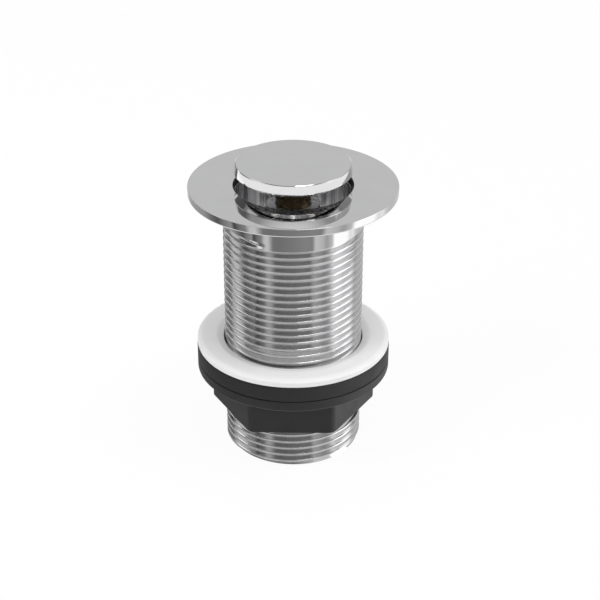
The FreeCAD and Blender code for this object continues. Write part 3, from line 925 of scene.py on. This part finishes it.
def world_rise(tree, source, start, end):
    """0 before start and 1 after end, smooth between them."""
    node = add_node(tree, "ShaderNodeMapRange", interpolation_type="SMOOTHSTEP")
    node.inputs["From Min"].default_value = start
    node.inputs["From Max"].default_value = end
    tree.links.new(source, node.inputs["Value"])
    return node.outputs["Result"]


def world_band(tree, source, ends, edges):
    """1 between two angles and 0 beyond them, with soft edges."""
    (start, end), (first, last) = ends, edges
    rising = world_rise(tree, source, start - first, start + first)
    falling = world_rise(tree, source, end + last, end - last)
    return world_math(tree, "MULTIPLY", rising, falling)


def world_mix(tree, share, low, high):
    """low where share is 0 and high where it is 1."""
    node = add_node(tree, "ShaderNodeMix", data_type="RGBA")
    tree.links.new(share, node.inputs["Factor"])
    for socket, value in ((6, low), (7, high)):
        if isinstance(value, (int, float)):
            node.inputs[socket].default_value = (value, value, value, 1)
        else:
            tree.links.new(value, node.inputs[socket])
    return node.outputs[2]


def make_world():
    """The studio that the metal mirrors. The camera sees plain white instead."""
    world = bpy.data.worlds.new("studio")
    bpy.context.scene.world = world
    world.use_nodes = True
    tree = world.node_tree
    place = add_node(tree, "ShaderNodeTexCoord")
    split = add_node(tree, "ShaderNodeSeparateXYZ")
    tree.links.new(place.outputs["Generated"], split.inputs["Vector"])
    towards = world_math(tree, "MULTIPLY", split.outputs["Y"], -1.0)
    azimuth = world_math(tree, "ARCTAN2", split.outputs["X"], towards)
    azimuth = world_math(tree, "DIVIDE", azimuth, math.radians(1))
    elevation = world_math(tree, "ARCSINE", split.outputs["Z"])
    elevation = world_math(tree, "DIVIDE", elevation, math.radians(1))
    round_share = world_math(tree, "DIVIDE", azimuth, 360.0)
    round_share = world_math(tree, "ADD", round_share, 0.5)
    height_share = world_math(tree, "DIVIDE", elevation, 180.0)
    height_share = world_math(tree, "ADD", height_share, 0.5)
    light = world_ramp(tree, height_share, RINGS, -90, 90)
    for stops, ends in ((LOW_CARDS, LOW_CARDS_RANGE), (UPPER_CARDS, UPPER_CARDS_RANGE)):
        cards = world_ramp(tree, round_share, stops, -180, 180)
        light = world_mix(tree, world_band(tree, elevation, ends, CARD_EDGES), light, cards)
    turned = world_math(tree, "ABSOLUTE", azimuth)
    behind = world_rise(tree, turned, BACK_WALL_START - WALL_EDGE, BACK_WALL_START + WALL_EDGE)
    upright = world_band(tree, elevation, BACK_WALL_RANGE, SHARP_EDGES)
    wall = world_math(tree, "MULTIPLY", behind, upright)
    light = world_mix(tree, wall, light, BACK_WALL / CHROME_SHARE)
    for sides, heights, strength in SOFTBOXES:
        across = world_band(tree, azimuth, sides, SHARP_EDGES)
        upright = world_band(tree, elevation, heights, SHARP_EDGES)
        light = world_mix(tree, world_math(tree, "MULTIPLY", across, upright), light, strength)
    background = tree.nodes["Background"]
    tree.links.new(light, background.inputs["Color"])
    white = add_node(tree, "ShaderNodeBackground")
    white.inputs["Color"].default_value = (1, 1, 1, 1)
    path = add_node(tree, "ShaderNodeLightPath")
    choice = add_node(tree, "ShaderNodeMixShader")
    tree.links.new(path.outputs["Is Camera Ray"], choice.inputs["Fac"])
    tree.links.new(background.outputs["Background"], choice.inputs[1])
    tree.links.new(white.outputs["Background"], choice.inputs[2])
    tree.links.new(choice.outputs["Shader"], tree.nodes["World Output"].inputs["Surface"])


def make_floor():
    """A pale floor that the camera sees as nearly white, with a faint shadow."""
    shape = bmesh.new()
    bmesh.ops.create_grid(shape, x_segments=1, y_segments=1, size=FLOOR_SIZE)
    bmesh.ops.translate(shape, verts=shape.verts[:], vec=(0, 0, cad_low.z - FLOOR_DROP * MM))
    mesh = bpy.data.meshes.new("floor")
    shape.to_mesh(mesh)
    shape.free()
    material, tree, shader = new_finish("pale floor", (0.9, 0.9, 0.9), 0.0, 0.9)
    glow = add_node(tree, "ShaderNodeEmission")
    glow.inputs["Color"].default_value = (1, 1, 1, 1)
    path = add_node(tree, "ShaderNodeLightPath")
    choice = add_node(tree, "ShaderNodeMixShader")
    most = world_math(tree, "MULTIPLY", path.outputs["Is Camera Ray"], FLOOR_GLOW)
    tree.links.new(most, choice.inputs["Fac"])
    tree.links.new(shader.outputs["BSDF"], choice.inputs[1])
    tree.links.new(glow.outputs["Emission"], choice.inputs[2])
    tree.links.new(choice.outputs["Shader"], tree.nodes["Material Output"].inputs["Surface"])
    mesh.materials.append(material)
    floor = bpy.data.objects.new("floor", mesh)
    bpy.context.scene.collection.objects.link(floor)
    floor.visible_glossy = False


def make_bore_lights():
    """Small soft lamps round the cartridge, for the light that the mouth lets in."""
    for number in range(BORE_LIGHTS):
        turn = 2 * math.pi * (number + 0.5) / BORE_LIGHTS
        lamp = bpy.data.lights.new("bore light %d" % number, "POINT")
        lamp.energy = BORE_LIGHT_POWER
        lamp.shadow_soft_size = BORE_LIGHT_SIZE * MM
        spot = bpy.data.objects.new(lamp.name, lamp)
        spot.location = (BORE_LIGHT_RADIUS * MM * math.cos(turn),
                         BORE_LIGHT_RADIUS * MM * math.sin(turn), BORE_LIGHT_HEIGHT * MM)
        bpy.context.scene.collection.objects.link(spot)


def make_left_light():
    """A soft lamp on the left, which lights the washers and the metal doesn't mirror."""
    lamp = bpy.data.lights.new("left light", "AREA")
    lamp.energy = LEFT_LIGHT_POWER
    lamp.size = LEFT_LIGHT_SIZE
    spot = bpy.data.objects.new("left light", lamp)
    spot.location = LEFT_LIGHT_PLACE
    spot.rotation_euler = (math.radians(LEFT_LIGHT_TILT), 0, math.radians(LEFT_LIGHT_TURN))
    spot.visible_glossy = False
    bpy.context.scene.collection.objects.link(spot)


def make_camera():
    camera = bpy.data.cameras.new("camera")
    camera.lens = CAMERA_LENS
    camera.sensor_width = CAMERA_SENSOR
    camera.shift_x, camera.shift_y = CAMERA_SHIFT
    view = bpy.data.objects.new("camera", camera)
    view.location = CAMERA_PLACE
    view.rotation_euler = (math.radians(CAMERA_TILT), 0, 0)
    bpy.context.scene.collection.objects.link(view)
    bpy.context.scene.camera = view


make_waste_body()
make_mouth_seal()
make_cross_bar()
make_base_stud()
make_stud_nut()
make_housing()
make_top_bush()
make_wiper_ring()
make_cam_sleeve()
make_spring()
make_plug_cap()
make_stem()
make_crown()
make_rotor()
make_white_washer()
make_rubber_washer()
make_back_nut()
finish_kept_nodes()
make_world()
make_floor()
make_bore_lights()
make_left_light()
make_camera()
bpy.context.scene.view_settings.view_transform = "Standard"
